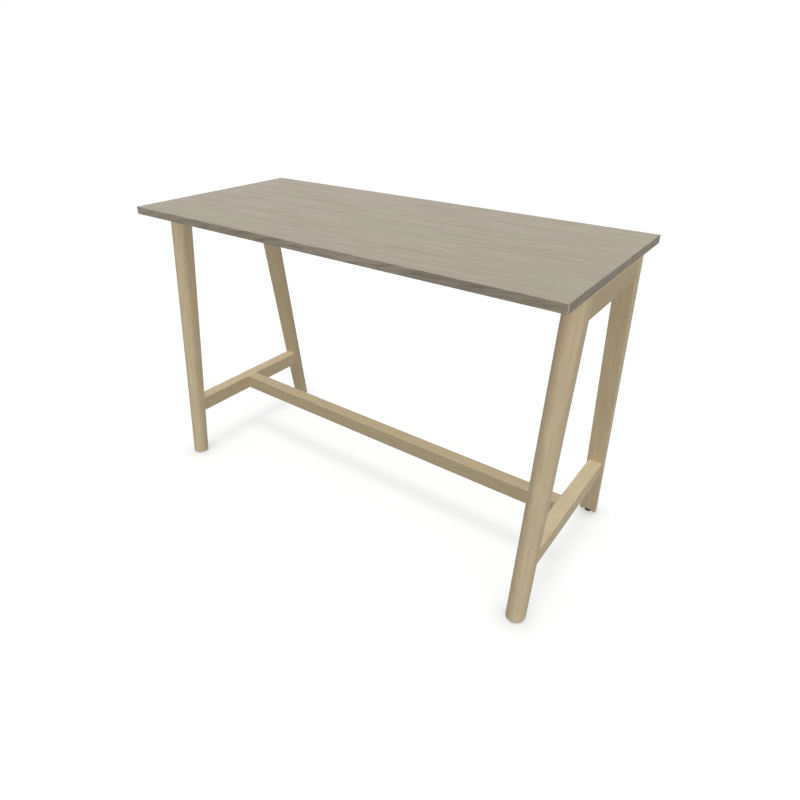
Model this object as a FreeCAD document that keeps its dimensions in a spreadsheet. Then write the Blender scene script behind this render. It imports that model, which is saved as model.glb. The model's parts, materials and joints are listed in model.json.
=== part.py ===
import FreeCAD, Part
import math
import os
import re
import Sketcher
from FreeCAD import Placement, Rotation, Vector

# High table: a board on two leaning end frames of solid wood, tied by a low stretcher.
# Millimetres, +Z up, +X along the board, -Y towards the front, origin on the floor below the middle.

SIZES = {
    # Whole table
    "table_length": 1600,
    "table_depth": 700,
    "table_height": 1050,
    # Board and its edge strips
    "top_thickness": 25,
    "band_thickness": 2,
    "band_round": 1,
    # End frames
    "shadow_gap": 6,
    "frame_inset": 3,
    "leg_width": 60,
    "leg_depth_top": 64,
    "leg_depth_foot": 44,
    "leg_inner_top": 174.5,
    "leg_inner_foot": 299,
    "foot_gap": 4.5,
    "foot_chamfer": 1.5,
    "wood_round": 2,
    "top_rail_height": 64,
    "cross_rail_width": 48,
    "cross_rail_height": 58,
    "cross_rail_top": 250,
    # Stretcher
    "stretcher_width": 48,
    "stretcher_height": 56,
    # Dowels
    "dowel_diameter": 10,
    "dowel_length": 60,
    "dowel_clearance": 0.1,
    "dowel_end_room": 1,
    "top_rail_dowel_spacing": 30,
    "cross_rail_dowel_spacing": 28,
    "stretcher_dowel_spacing": 34,
    # Knock-down joint at each end of the stretcher
    "tie_diameter": 8,
    "tie_length": 90,
    "tie_grip": 18,
    "tie_bore_room": 0.5,
    "tie_insert_diameter": 12,
    "tie_insert_length": 20,
    "tie_nut_flats": 13,
    "tie_nut_thickness": 6.5,
    "pocket_diameter": 28,
    "pocket_set": 70,
    "pocket_headroom": 12,
    "washer_height": 18,
    "washer_seat": 6,
    # Steel beams under the board
    "beam_width": 30,
    "beam_height": 40,
    "beam_wall": 2,
    "beam_round": 3,
    "beam_spacing": 200,
    "beam_end_gap": 2,
    "tab_inset": 5,
    "tab_lap": 40,
    "beam_screw_diameter": 6,
    "beam_screw_head": 11,
    "beam_screw_length": 30,
    "beam_screw_spacing": 26,
    "beam_screw_room": 0.2,
    "rail_insert_diameter": 10,
    "rail_insert_length": 15,
    "top_screw_diameter": 4.5,
    "top_screw_length": 20,
    "top_screw_head": 9,
    "top_screw_head_height": 3,
    "top_screw_access": 12,
    "top_screw_pitch": 400,
    "pilot_room": 1,
    # Levelling glides
    "glide_set": 10.5,
    "pad_diameter": 25,
    "pad_height": 6,
    "pad_floor": 2,
    "pad_round": 1,
    "stud_diameter": 8,
    "stud_foot_diameter": 12,
    "stud_foot_height": 2,
    "stud_length": 36,
    "stud_chamfer": 1,
    "stud_room": 0.3,
    "collar_flats": 13,
    "collar_height": 3,
    "recess_depth": 5.5,
    "recess_room": 1,
    "glide_insert_diameter": 11,
    "glide_insert_length": 25,
    # Fits shared by the metal fasteners
    "thread_clearance": 0.1,
    "insert_clearance": 0.1,
    "hole_end_room": 3,
}

doc = FreeCAD.newDocument("HighTable")
sheet = doc.addObject("Spreadsheet::Sheet", "Sizes")
for row, (alias, size) in enumerate(SIZES.items(), start=1):
    sheet.set(f"A{row}", alias)
    sheet.set(f"B{row}", str(size))
    sheet.setAlias(f"B{row}", alias)
doc.recompute()

pieces = []


def formula(text):
    """Spell out a formula written in the sheet's names, so that the document can follow it."""
    return re.sub(r"[a-z_]+", lambda name: "Sizes." + name.group(), text)


def measure(text):
    """The present value of such a formula, for a first drawing that the constraints then hold."""
    numbers = re.sub(r"[a-z_]+", lambda name: str(SIZES[name.group()]), text)
    return FreeCAD.Units.parseQuantity(numbers).Value


def point(across, up):
    return Vector(measure(across), measure(up), 0)


def bind(thing, **formulas):
    """Tie properties to formulas. A double underscore stands for the dot in a property's path."""
    for path, text in formulas.items():
        thing.setExpression(path.replace("__", "."), formula(text))


# Sketches and features


def new_body(label):
    body = doc.addObject("PartDesign::Body", label)
    body.Label = label
    return body


def new_piece(label):
    """A body that is one piece of the table."""
    body = new_body(label)
    pieces.append(body)
    return body


def origin_plane(body, role):
    return next(feature for feature in body.Origin.OriginFeatures if feature.Role == role)


def new_sketch(body, role, offset="0"):
    """A sketch on an origin plane of the body, moved along the plane's normal by the offset."""
    sketch = body.newObject("Sketcher::SketchObject", "Outline")
    sketch.AttachmentSupport = [(origin_plane(body, role), "")]
    sketch.MapMode = "FlatFace"
    bind(sketch, AttachmentOffset__Base__z=offset)
    return sketch


def constrain(sketch, text, *constraint):
    index = sketch.addConstraint(Sketcher.Constraint(*constraint, measure(text)))
    sketch.setExpression(f"Constraints[{index}]", formula(text))


def place_point(sketch, edge, end, across, up):
    """Tie a point of the sketch to its distances from the sketch's origin."""
    constrain(sketch, across, "DistanceX", edge, end)
    constrain(sketch, up, "DistanceY", edge, end)


def close_loop(sketch, edges):
    for edge, following in zip(edges, edges[1:] + edges[:1]):
        sketch.addConstraint(Sketcher.Constraint("Coincident", edge, 2, following, 1))


def draw_line(sketch, start, end):
    """A straight edge between two points given as pairs of formulas."""
    line = sketch.addGeometry(Part.LineSegment(point(*start), point(*end)), False)
    place_point(sketch, line, 1, *start)
    place_point(sketch, line, 2, *end)
    return line


def draw_arc(sketch, across, up, radius, first_turn, last_turn):
    """An arc whose ends are held by its neighbours and whose centre is held in height."""
    circle = Part.Circle(point(across, up), Vector(0, 0, 1), measure(radius))
    arc = sketch.addGeometry(Part.ArcOfCircle(circle, first_turn, last_turn), False)
    constrain(sketch, up, "DistanceY", arc, 3)
    return arc


def draw_polygon(sketch, corners):
    """A closed outline of straight edges through corners given as pairs of formulas."""
    spots = [point(*corner) for corner in corners]
    sides = [Part.LineSegment(start, end) for start, end in zip(spots, spots[1:] + spots[:1])]
    edges = [sketch.addGeometry(side, False) for side in sides]
    close_loop(sketch, edges)
    for edge, (across, up) in zip(edges, corners):
        place_point(sketch, edge, 1, across, up)


def draw_rectangle(sketch, left, right, low, high):
    draw_polygon(sketch, [(left, low), (right, low), (right, high), (left, high)])


def draw_circle(sketch, across, up, diameter):
    radius = measure(diameter) / 2
    circle = sketch.addGeometry(Part.Circle(point(across, up), Vector(0, 0, 1), radius), False)
    place_point(sketch, circle, 3, across, up)
    constrain(sketch, diameter, "Diameter", circle)


def draw_d_outline(sketch, width, flat, nose, corner):
    """A D on its back: a flat side with rounded corners, two flanks and a half-round nose."""
    half = f"({width}) / 2"
    flat_half = f"(({width}) / 2 - {corner})"
    shoulder = f"({nose} - ({width}) / 2)"
    corner_up = f"({flat} + {corner})"
    edges = [
        draw_line(sketch, (f"-{flat_half}", flat), (flat_half, flat)),
        draw_arc(sketch, flat_half, corner_up, corner, -math.pi / 2, 0),
        draw_line(sketch, (half, corner_up), (half, shoulder)),
        draw_arc(sketch, "0", shoulder, half, 0, math.pi),
        draw_line(sketch, (f"-{half}", shoulder), (f"-{half}", corner_up)),
        draw_arc(sketch, f"-{flat_half}", corner_up, corner, math.pi, 1.5 * math.pi),
    ]
    close_loop(sketch, edges)


def pad(body, sketch, length, symmetric=False):
    feature = body.newObject("PartDesign::Pad", "Pad")
    feature.Profile = sketch
    feature.SideType = "Symmetric" if symmetric else "One side"
    bind(feature, Length=length)
    doc.recompute()
    return feature


def drill(body, sketch, reverse=False):
    """Cut everything from the sketch's plane against its normal, or along it when reversed."""
    feature = body.newObject("PartDesign::Pocket", "Bore")
    feature.Profile = sketch
    feature.Type = "ThroughAll"
    feature.Reversed = reverse
    doc.recompute()
    return feature


def spin(body, sketch):
    """Turn an outline drawn on the XZ plane about the Z axis."""
    feature = body.newObject("PartDesign::Revolution", "Turning")
    feature.Profile = sketch
    feature.ReferenceAxis = (sketch, ["V_Axis"])
    feature.Angle = 360
    doc.recompute()
    return feature


def mirror(body, features, role):
    feature = body.newObject("PartDesign::Mirrored", "Mirror")
    feature.Originals = features
    feature.MirrorPlane = (origin_plane(body, role), [""])
    body.Tip = feature
    doc.recompute()
    return feature


def round_edges(body, base, wanted, radius):
    """Fillet the edges of a feature that the test picks out."""
    names = [f"Edge{number}" for number, edge in enumerate(base.Shape.Edges, start=1) if wanted(edge)]
    feature = body.newObject("PartDesign::Fillet", "Rounding")
    feature.Base = (base, names)
    bind(feature, Radius=radius)
    doc.recompute()


PARALLEL_COSINE = 0.999


def runs_along(axis):
    """Test for straight edges in a given direction."""
    def test(edge):
        straight = edge.Curve.TypeId == "Part::GeomLine"
        return straight and abs(edge.Curve.Direction.dot(axis)) > PARALLEL_COSINE
    return test


X_AXIS, Y_AXIS, Z_AXIS = Vector(1, 0, 0), Vector(0, 1, 0), Vector(0, 0, 1)
UPRIGHT = Rotation()
HALF_TURN = Rotation(Z_AXIS, 180)
Z_TO_X = Rotation(Y_AXIS, 90)
Z_TO_Y = Rotation(X_AXIS, -90)


def settle(thing, rotation=UPRIGHT, x="0", y="0", z="0"):
    """Give an object its place in the table."""
    thing.Placement = Placement(Vector(), rotation)
    bind(thing, Placement__Base__x=x, Placement__Base__y=y, Placement__Base__z=z)


def fastener_group(label, master, seats):
    """One piece of several like fasteners: a copy of the master at each (rotation, x, y, z) seat."""
    copies = []
    for number, (rotation, x, y, z) in enumerate(seats, start=1):
        copy = doc.addObject("App::Link", f"{label}_{number}")
        copy.LinkedObject = master
        settle(copy, rotation, x, y, z)
        copies.append(copy)
    group = doc.addObject("Part::Compound", label)
    group.Label = label
    group.Links = copies
    pieces.append(group)


# Heights and places that several pieces share

TOP_UNDERSIDE = "(table_height - top_thickness)"
FRAME_TOP = "(table_height - top_thickness - shadow_gap)"
FRAME_X = "(table_length / 2 - frame_inset - leg_width / 2)"
TOP_RAIL_BOTTOM = f"({FRAME_TOP} - top_rail_height)"
TOP_RAIL_MIDDLE = f"({FRAME_TOP} - top_rail_height / 2)"
CROSS_RAIL_BOTTOM = "(cross_rail_top - cross_rail_height)"
CROSS_RAIL_MIDDLE = "(cross_rail_top - cross_rail_height / 2)"
STRETCHER_END = f"({FRAME_X} - cross_rail_width / 2)"
STRETCHER_BOTTOM = f"({CROSS_RAIL_MIDDLE} - stretcher_height / 2)"
STRETCHER_TOP = f"({CROSS_RAIL_MIDDLE} + stretcher_height / 2)"
BEAM_END = f"({FRAME_X} - leg_width / 2 - beam_end_gap)"
BEAM_Y = "(beam_spacing / 2)"
TAB_TOP = f"({TOP_UNDERSIDE} - beam_wall)"
GLIDE_Y = "(leg_inner_foot + glide_set)"
RECESS_TOP = "(foot_gap + recess_depth)"
COLLAR_BOTTOM = "(pad_height + stud_room)"
COLLAR_TOP = f"({COLLAR_BOTTOM} + collar_height)"
STUD_TOP = f"({COLLAR_TOP} + stud_length)"
DOWEL_BORE = "(dowel_diameter + 2 * dowel_clearance)"
DOWEL_REACH = "(dowel_length / 2 + dowel_end_room)"
RAIL_DOWELS = {
    "top_rail": [f"({TOP_RAIL_MIDDLE} {sign} top_rail_dowel_spacing / 2)" for sign in "-+"],
    "cross_rail": [f"({CROSS_RAIL_MIDDLE} {sign} cross_rail_dowel_spacing / 2)" for sign in "-+"],
}
STRETCHER_DOWELS = [f"({CROSS_RAIL_MIDDLE} {sign} stretcher_dowel_spacing / 2)" for sign in "-+"]
TOP_SCREW_X = [f"({step} * top_screw_pitch)" for step in (-1.5, -0.5, 0.5, 1.5)]
FRAME_SIDES = {"left": "-1", "right": "1"}
TABLE_SIDES = {"front": "-1", "back": "1"}
SCREW_PAIR = ("-1", "1")
COUNTERSINK_SLOPE = 45


def along_leg(height, at_top, at_foot):
    """A distance that changes evenly between the top and the foot of the leaning legs."""
    drop = f"({FRAME_TOP} - {height}) / ({FRAME_TOP} - foot_gap)"
    return f"({at_top} + ({at_foot} - {at_top}) * {drop})"


def inner_face(height):
    """Distance of the legs' inner faces from the middle of the table at a height."""
    return along_leg(height, "leg_inner_top", "leg_inner_foot")


def outer_face(height):
    """Distance of the legs' rounded noses from the middle of the table at a height."""
    return along_leg(height, "(leg_inner_top + leg_depth_top)", "(leg_inner_foot + leg_depth_foot)")


# Board: faced chipboard with blind pilot holes for the screws that come up out of the beams

board = new_piece("tabletop_board")
BOARD_X = "(table_length / 2 - band_thickness)"
BOARD_Y = "(table_depth / 2 - band_thickness)"
outline = new_sketch(board, "XY_Plane", TOP_UNDERSIDE)
draw_rectangle(outline, f"-{BOARD_X}", BOARD_X, f"-{BOARD_Y}", BOARD_Y)
pad(board, outline, "top_thickness")
pilots = new_sketch(board, "XY_Plane", f"{TAB_TOP} + top_screw_length + pilot_room")
for side in TABLE_SIDES.values():
    for screw_x in TOP_SCREW_X:
        draw_circle(pilots, screw_x, f"{side} * {BEAM_Y}", "top_screw_diameter + 2 * thread_clearance")
drill(board, pilots)

# Edge strips: the long ones cover the ends of the short ones, and the outer corners are broken

BAND_MIDDLE = measure("band_thickness / 2")
for name, side in TABLE_SIDES.items():
    strip = new_piece(f"edge_band_{name}")
    outline = new_sketch(strip, "XY_Plane", TOP_UNDERSIDE)
    draw_rectangle(outline, "-table_length / 2", "table_length / 2", "0", "band_thickness")
    bar = pad(strip, outline, "top_thickness")
    lengthwise = runs_along(X_AXIS)
    round_edges(strip, bar, lambda edge: lengthwise(edge) and edge.BoundBox.YMin > BAND_MIDDLE, "band_round")
    settle(strip, HALF_TURN if name == "front" else UPRIGHT, y=f"{side} * {BOARD_Y}")

for name, side in FRAME_SIDES.items():
    strip = new_piece(f"edge_band_{name}")
    outline = new_sketch(strip, "XY_Plane", TOP_UNDERSIDE)
    draw_rectangle(outline, "0", "band_thickness", f"-{BOARD_Y}", BOARD_Y)
    bar = pad(strip, outline, "top_thickness")
    lengthwise = runs_along(Y_AXIS)
    round_edges(strip, bar, lambda edge: lengthwise(edge) and edge.BoundBox.XMin > BAND_MIDDLE, "band_round")
    settle(strip, HALF_TURN if name == "left" else UPRIGHT, x=f"{side} * {BOARD_X}")


# Legs: a D section that tapers and leans, flat inside and half round outside. Each has two pairs of
# dowel bores, and underneath a recess, open to the inner face, with the glide's insert bore above it.


def build_leg(label):
    leg = new_piece(label)
    inset_width = "leg_width - 2 * foot_chamfer"
    edge_height = "(foot_gap + foot_chamfer)"
    sole = new_sketch(leg, "XY_Plane", "foot_gap")
    sole_flat = f"({inner_face('foot_gap')} + foot_chamfer)"
    sole_nose = f"({outer_face('foot_gap')} - foot_chamfer)"
    draw_d_outline(sole, inset_width, sole_flat, sole_nose, "wood_round")
    foot = new_sketch(leg, "XY_Plane", edge_height)
    draw_d_outline(foot, "leg_width", inner_face(edge_height), outer_face(edge_height), "wood_round")
    head = new_sketch(leg, "XY_Plane", FRAME_TOP)
    draw_d_outline(head, "leg_width", inner_face(FRAME_TOP), outer_face(FRAME_TOP), "wood_round")
    taper = leg.newObject("PartDesign::AdditiveLoft", "Taper")
    taper.Profile = sole
    taper.Sections = [foot, head]
    taper.Ruled = True
    doc.recompute()
    for heights in RAIL_DOWELS.values():
        for height in heights:
            bore = new_sketch(leg, "XZ_Plane", f"-({inner_face(height)} + {DOWEL_REACH})")
            draw_circle(bore, "0", height, DOWEL_BORE)
            drill(leg, bore, reverse=True)
    recess = new_sketch(leg, "XY_Plane", RECESS_TOP)
    recess_width = "pad_diameter + 2 * recess_room"
    recess_mouth = "(leg_inner_foot - pad_diameter)"
    draw_d_outline(recess, recess_width, recess_mouth, f"{GLIDE_Y} + ({recess_width}) / 2", "wood_round")
    drill(leg, recess)
    seat = new_sketch(leg, "XY_Plane", f"{STUD_TOP} + hole_end_room")
    draw_circle(seat, "0", GLIDE_Y, "glide_insert_diameter + 2 * insert_clearance")
    drill(leg, seat)
    return leg


for depth_name, depth_side in TABLE_SIDES.items():
    for frame_name, frame_side in FRAME_SIDES.items():
        leg = build_leg(f"leg_{depth_name}_{frame_name}")
        settle(leg, HALF_TURN if depth_name == "front" else UPRIGHT, x=f"{frame_side} * {FRAME_X}")


# Rails of the end frames: their ends are cut to the lean of the legs and bored for the dowels


def build_rail(kind, name, width, low, high):
    rail = new_piece(f"{kind}_{name}")
    outline = new_sketch(rail, "YZ_Plane")
    low_half = inner_face(low)
    high_half = inner_face(high)
    corners = [(f"-{low_half}", low), (low_half, low), (high_half, high), (f"-{high_half}", high)]
    draw_polygon(outline, corners)
    blank = pad(rail, outline, width, symmetric=True)
    round_edges(rail, blank, runs_along(Y_AXIS), "wood_round")
    bores = []
    for height in RAIL_DOWELS[kind]:
        bore = new_sketch(rail, "XZ_Plane", f"-({inner_face(height)} - {DOWEL_REACH})")
        draw_circle(bore, "0", height, DOWEL_BORE)
        bores.append(drill(rail, bore))
    mirror(rail, bores, "XZ_Plane")
    return rail


for name, side in FRAME_SIDES.items():
    rail = build_rail("top_rail", name, "leg_width", TOP_RAIL_BOTTOM, FRAME_TOP)
    seats = new_sketch(rail, "XY_Plane", f"{TAB_TOP} - beam_screw_length - hole_end_room")
    for table_side in TABLE_SIDES.values():
        for end in SCREW_PAIR:
            screw_x = f"{end} * beam_screw_spacing / 2"
            screw_y = f"{table_side} * {BEAM_Y}"
            draw_circle(seats, screw_x, screw_y, "rail_insert_diameter + 2 * insert_clearance")
    drill(rail, seats, reverse=True)
    settle(rail, x=f"{side} * {FRAME_X}")

for name, side in FRAME_SIDES.items():
    rail = build_rail("cross_rail", name, "cross_rail_width", CROSS_RAIL_BOTTOM, "cross_rail_top")
    pins = new_sketch(rail, "YZ_Plane", f"cross_rail_width / 2 - {DOWEL_REACH}")
    for height in STRETCHER_DOWELS:
        draw_circle(pins, "0", height, DOWEL_BORE)
    drill(rail, pins, reverse=True)
    seat = new_sketch(rail, "YZ_Plane", "cross_rail_width / 2 - tie_insert_length")
    draw_circle(seat, "0", CROSS_RAIL_MIDDLE, "tie_insert_diameter + 2 * insert_clearance")
    drill(rail, seat, reverse=True)
    settle(rail, HALF_TURN if name == "right" else UPRIGHT, x=f"{side} * {FRAME_X}")


# Stretcher: runs between the cross rails, drawn up by a bolt at each end from a pocket underneath

stretcher = new_piece("long_stretcher")
outline = new_sketch(stretcher, "YZ_Plane")
draw_rectangle(outline, "-stretcher_width / 2", "stretcher_width / 2", STRETCHER_BOTTOM, STRETCHER_TOP)
blank = pad(stretcher, outline, f"2 * {STRETCHER_END}", symmetric=True)
round_edges(stretcher, blank, runs_along(X_AXIS), "wood_round")
pins = new_sketch(stretcher, "YZ_Plane", f"{STRETCHER_END} - {DOWEL_REACH}")
for height in STRETCHER_DOWELS:
    draw_circle(pins, "0", height, DOWEL_BORE)
pin_bores = drill(stretcher, pins, reverse=True)
tie = new_sketch(stretcher, "YZ_Plane", f"{STRETCHER_END} - pocket_set")
draw_circle(tie, "0", CROSS_RAIL_MIDDLE, "tie_diameter + 2 * tie_bore_room")
tie_bore = drill(stretcher, tie, reverse=True)
pocket = new_sketch(stretcher, "XY_Plane", f"{CROSS_RAIL_MIDDLE} + pocket_headroom")
draw_circle(pocket, f"{STRETCHER_END} - pocket_set", "0", "pocket_diameter")
pocket_bore = drill(stretcher, pocket)
mirror(stretcher, [pin_bores, tie_bore, pocket_bore], "YZ_Plane")


# Beams: rectangular steel tube. A flat tab slid into each end below the upper wall and welded there
# lies on the top rail, so that tab and wall together make the shadow gap.


def build_beam(label):
    beam = new_piece(label)
    low = f"({TOP_UNDERSIDE} - beam_height)"
    half = "(beam_width / 2)"
    inner_half = "(beam_width / 2 - beam_wall)"
    section = new_sketch(beam, "YZ_Plane")
    draw_rectangle(section, f"-{half}", half, low, TOP_UNDERSIDE)
    bar = pad(beam, section, f"2 * {BEAM_END}", symmetric=True)
    round_edges(beam, bar, runs_along(X_AXIS), "beam_round")
    hollow = new_sketch(beam, "YZ_Plane", f"-{BEAM_END}")
    draw_rectangle(hollow, f"-{inner_half}", inner_half, f"{low} + beam_wall", TAB_TOP)
    drill(beam, hollow, reverse=True)
    tab = new_sketch(beam, "XY_Plane", FRAME_TOP)
    tab_end = f"{FRAME_X} + leg_width / 2 - tab_inset"
    draw_rectangle(tab, f"{BEAM_END} - tab_lap", tab_end, f"-{inner_half}", inner_half)
    tab_plate = pad(beam, tab, "shadow_gap - beam_wall")
    mirror(beam, [tab_plate], "YZ_Plane")
    clear_hole = "(beam_screw_diameter + 2 * beam_screw_room)"
    head_hole = "(beam_screw_head + 2 * beam_screw_room)"
    sinks = new_sketch(beam, "XY_Plane", TAB_TOP)
    shanks = new_sketch(beam, "XY_Plane", TAB_TOP)
    for frame_side in FRAME_SIDES.values():
        for end in SCREW_PAIR:
            spot = f"{frame_side} * {FRAME_X} + {end} * beam_screw_spacing / 2"
            draw_circle(sinks, spot, "0", head_hole)
            draw_circle(shanks, spot, "0", clear_hole)
    sink = beam.newObject("PartDesign::Pocket", "Countersink")
    sink.Profile = sinks
    sink.TaperAngle = -COUNTERSINK_SLOPE
    bind(sink, Length=f"({head_hole} - {clear_hole}) / 2")
    drill(beam, shanks)
    access = new_sketch(beam, "XY_Plane", f"{low} + beam_height / 2")
    passage = new_sketch(beam, "XY_Plane", f"{low} + beam_height / 2")
    for screw_x in TOP_SCREW_X:
        draw_circle(access, screw_x, "0", "top_screw_access")
        draw_circle(passage, screw_x, "0", "top_screw_diameter + 2 * beam_screw_room")
    drill(beam, access)
    drill(beam, passage, reverse=True)
    return beam


for name, side in TABLE_SIDES.items():
    settle(build_beam(f"beam_{name}"), y=f"{side} * {BEAM_Y}")


# Fasteners: one master each, turned or extruded about its own axis


def build_rod(label, diameter, length):
    """A round rod about Z, centred on the origin."""
    rod = new_body(label)
    outline = new_sketch(rod, "XY_Plane")
    draw_circle(outline, "0", "0", diameter)
    pad(rod, outline, length, symmetric=True)
    return rod


def build_insert(label, diameter, bore, length):
    """An insert nut about Z whose mouth is at the origin and whose body goes up."""
    insert = new_body(label)
    outline = new_sketch(insert, "XY_Plane")
    draw_circle(outline, "0", "0", diameter)
    draw_circle(outline, "0", "0", f"{bore} + 2 * thread_clearance")
    pad(insert, outline, length)
    return insert


def hexagon(flats):
    corners = [math.tau * number / 6 for number in range(6)]
    radius = f"({flats}) / {2 * math.cos(math.pi / 6):.6f}"
    return [(f"{radius} * {math.cos(c):.6f}", f"{radius} * {math.sin(c):.6f}") for c in corners]


MOUTH_UP = Rotation(X_AXIS, 180)
dowel = build_rod("dowel", "dowel_diameter", "dowel_length")
for rail_name, heights in RAIL_DOWELS.items():
    seats = []
    for frame_side in FRAME_SIDES.values():
        for table_side in TABLE_SIDES.values():
            for height in heights:
                joint_y = f"{table_side} * {inner_face(height)}"
                seats.append((Z_TO_Y, f"{frame_side} * {FRAME_X}", joint_y, height))
    fastener_group(f"{rail_name}_dowels", dowel, seats)

seats = []
for side in FRAME_SIDES.values():
    for height in STRETCHER_DOWELS:
        seats.append((Z_TO_X, f"{side} * {STRETCHER_END}", "0", height))
fastener_group("stretcher_dowels", dowel, seats)

tie_rod = build_rod("tie_rod", "tie_diameter", "tie_length")
tie_insert = build_insert("tie_insert", "tie_insert_diameter", "tie_diameter", "tie_insert_length")
tie_nut = new_body("tie_nut")
outline = new_sketch(tie_nut, "XY_Plane")
draw_polygon(outline, hexagon("tie_nut_flats"))
draw_circle(outline, "0", "0", "tie_diameter + 2 * thread_clearance")
pad(tie_nut, outline, "tie_nut_thickness")

# Half-moon washer: round against the pocket's wall, flat under the nut, its axis along Z like the pocket's
washer = new_body("half_moon_washer")
outline = new_sketch(washer, "XY_Plane")
draw_circle(outline, "0", "0", "pocket_diameter - 2 * insert_clearance")
pad(washer, outline, "washer_height", symmetric=True)
waste = new_sketch(washer, "XY_Plane", "-washer_height")
draw_rectangle(waste, "-pocket_diameter", "washer_seat", "-pocket_diameter", "pocket_diameter")
drill(washer, waste, reverse=True)
eye = new_sketch(washer, "YZ_Plane")
draw_circle(eye, "0", "0", "tie_diameter + 2 * tie_bore_room")
drill(washer, eye, reverse=True)

tie_ends = {"left": Rotation(Z_AXIS, 180), "right": UPRIGHT}
tie_middle = f"({STRETCHER_END} + tie_grip - tie_length / 2)"
nut_face = f"({STRETCHER_END} - pocket_set + washer_seat)"
pocket_x = f"({STRETCHER_END} - pocket_set)"
fastener_group("stretcher_bolts", tie_rod, [
    (Z_TO_X, f"{side} * {tie_middle}", "0", CROSS_RAIL_MIDDLE) for side in FRAME_SIDES.values()])
fastener_group("stretcher_washers", washer, [
    (tie_ends[name], f"{side} * {pocket_x}", "0", CROSS_RAIL_MIDDLE) for name, side in FRAME_SIDES.items()])
fastener_group("stretcher_nuts", tie_nut, [
    (tie_ends[name] * Rotation(Y_AXIS, -90), f"{side} * {nut_face}", "0", CROSS_RAIL_MIDDLE)
    for name, side in FRAME_SIDES.items()])
fastener_group("stretcher_inserts", tie_insert, [
    (tie_ends[name] * Z_TO_X, f"{side} * {STRETCHER_END}", "0", CROSS_RAIL_MIDDLE)
    for name, side in FRAME_SIDES.items()])

# Countersunk machine screw: its head's face is at the origin and its shank goes down
beam_screw = new_body("beam_screw")
outline = new_sketch(beam_screw, "XZ_Plane")
draw_polygon(outline, [
    ("0", "0"),
    ("beam_screw_head / 2", "0"),
    ("beam_screw_diameter / 2", "-(beam_screw_head - beam_screw_diameter) / 2"),
    ("beam_screw_diameter / 2", "-beam_screw_length"),
    ("0", "-beam_screw_length"),
])
spin(beam_screw, outline)
rail_insert = build_insert("rail_insert", "rail_insert_diameter", "beam_screw_diameter", "rail_insert_length")
tab_spots = []
for frame_side in FRAME_SIDES.values():
    for table_side in TABLE_SIDES.values():
        for end in SCREW_PAIR:
            screw_x = f"{frame_side} * {FRAME_X} + {end} * beam_screw_spacing / 2"
            tab_spots.append((screw_x, f"{table_side} * {BEAM_Y}"))
fastener_group("beam_screws", beam_screw, [(UPRIGHT, x, y, TAB_TOP) for x, y in tab_spots])
fastener_group("rail_inserts", rail_insert, [(MOUTH_UP, x, y, FRAME_TOP) for x, y in tab_spots])

# Pan-head screw: the head bears on the inside of the beam's upper wall and the tapered tip points up
top_screw = new_body("top_screw")
outline = new_sketch(top_screw, "XZ_Plane")
draw_polygon(outline, [
    ("0", "-top_screw_head_height"),
    ("top_screw_head / 2", "-top_screw_head_height"),
    ("top_screw_head / 2", "0"),
    ("top_screw_diameter / 2", "0"),
    ("top_screw_diameter / 2", "top_screw_length - top_screw_diameter"),
    ("0", "top_screw_length"),
])
spin(top_screw, outline)
fastener_group("top_screws", top_screw, [
    (UPRIGHT, x, f"{side} * {BEAM_Y}", TAB_TOP) for side in TABLE_SIDES.values() for x in TOP_SCREW_X])


# Levelling glides: a plastic pad that stays still on the floor, and a steel stud whose foot turns in it.
# The stud's hexagonal collar is reached through the recess, and its thread runs in the leg's insert.


def build_glide_pad(label):
    glide = new_piece(label)
    socket = "(stud_foot_diameter / 2 + stud_room)"
    neck = "(stud_diameter / 2 + stud_room)"
    rim = "(pad_diameter / 2)"
    socket_top = "(pad_floor + stud_foot_height + stud_room)"
    outline = new_sketch(glide, "XZ_Plane")
    draw_polygon(outline, [
        ("0", "0"),
        (f"{rim} - pad_round", "0"),
        (rim, "pad_round"),
        (rim, "pad_height - pad_round"),
        (f"{rim} - pad_round", "pad_height"),
        (neck, "pad_height"),
        (neck, socket_top),
        (socket, socket_top),
        (socket, "pad_floor"),
        ("0", "pad_floor"),
    ])
    spin(glide, outline)
    return glide


def build_glide_stud(label):
    stud = new_piece(label)
    foot = "(stud_foot_diameter / 2)"
    shank = "(stud_diameter / 2)"
    outline = new_sketch(stud, "XZ_Plane")
    draw_polygon(outline, [
        ("0", "pad_floor"),
        (foot, "pad_floor"),
        (foot, "pad_floor + stud_foot_height"),
        (shank, "pad_floor + stud_foot_height"),
        (shank, f"{STUD_TOP} - stud_chamfer"),
        (f"{shank} - stud_chamfer", STUD_TOP),
        ("0", STUD_TOP),
    ])
    spin(stud, outline)
    collar = new_sketch(stud, "XY_Plane", COLLAR_BOTTOM)
    draw_polygon(collar, hexagon("collar_flats"))
    pad(stud, collar, "collar_height")
    return stud


glide_insert = build_insert("glide_insert", "glide_insert_diameter", "stud_diameter", "glide_insert_length")
glide_spots = []
for depth_name, depth_side in TABLE_SIDES.items():
    for frame_name, frame_side in FRAME_SIDES.items():
        spot = (f"{frame_side} * {FRAME_X}", f"{depth_side} * {GLIDE_Y}")
        settle(build_glide_pad(f"glide_pad_{depth_name}_{frame_name}"), x=spot[0], y=spot[1])
        settle(build_glide_stud(f"glide_stud_{depth_name}_{frame_name}"), x=spot[0], y=spot[1])
        glide_spots.append((UPRIGHT, *spot, RECESS_TOP))
fastener_group("leg_inserts", glide_insert, glide_spots)

# Every object has to be sound before anything is written

doc.recompute()
BAD_STATES = {"Invalid", "Error"}
faults = [f"{thing.Label}: {thing.State}" for thing in doc.Objects if BAD_STATES & set(thing.State)]
for piece in pieces:
    if piece.Shape.isNull() or not piece.Shape.isValid():
        faults.append(f"{piece.Label}: no valid solid")
if faults:
    raise RuntimeError("; ".join(faults))

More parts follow.
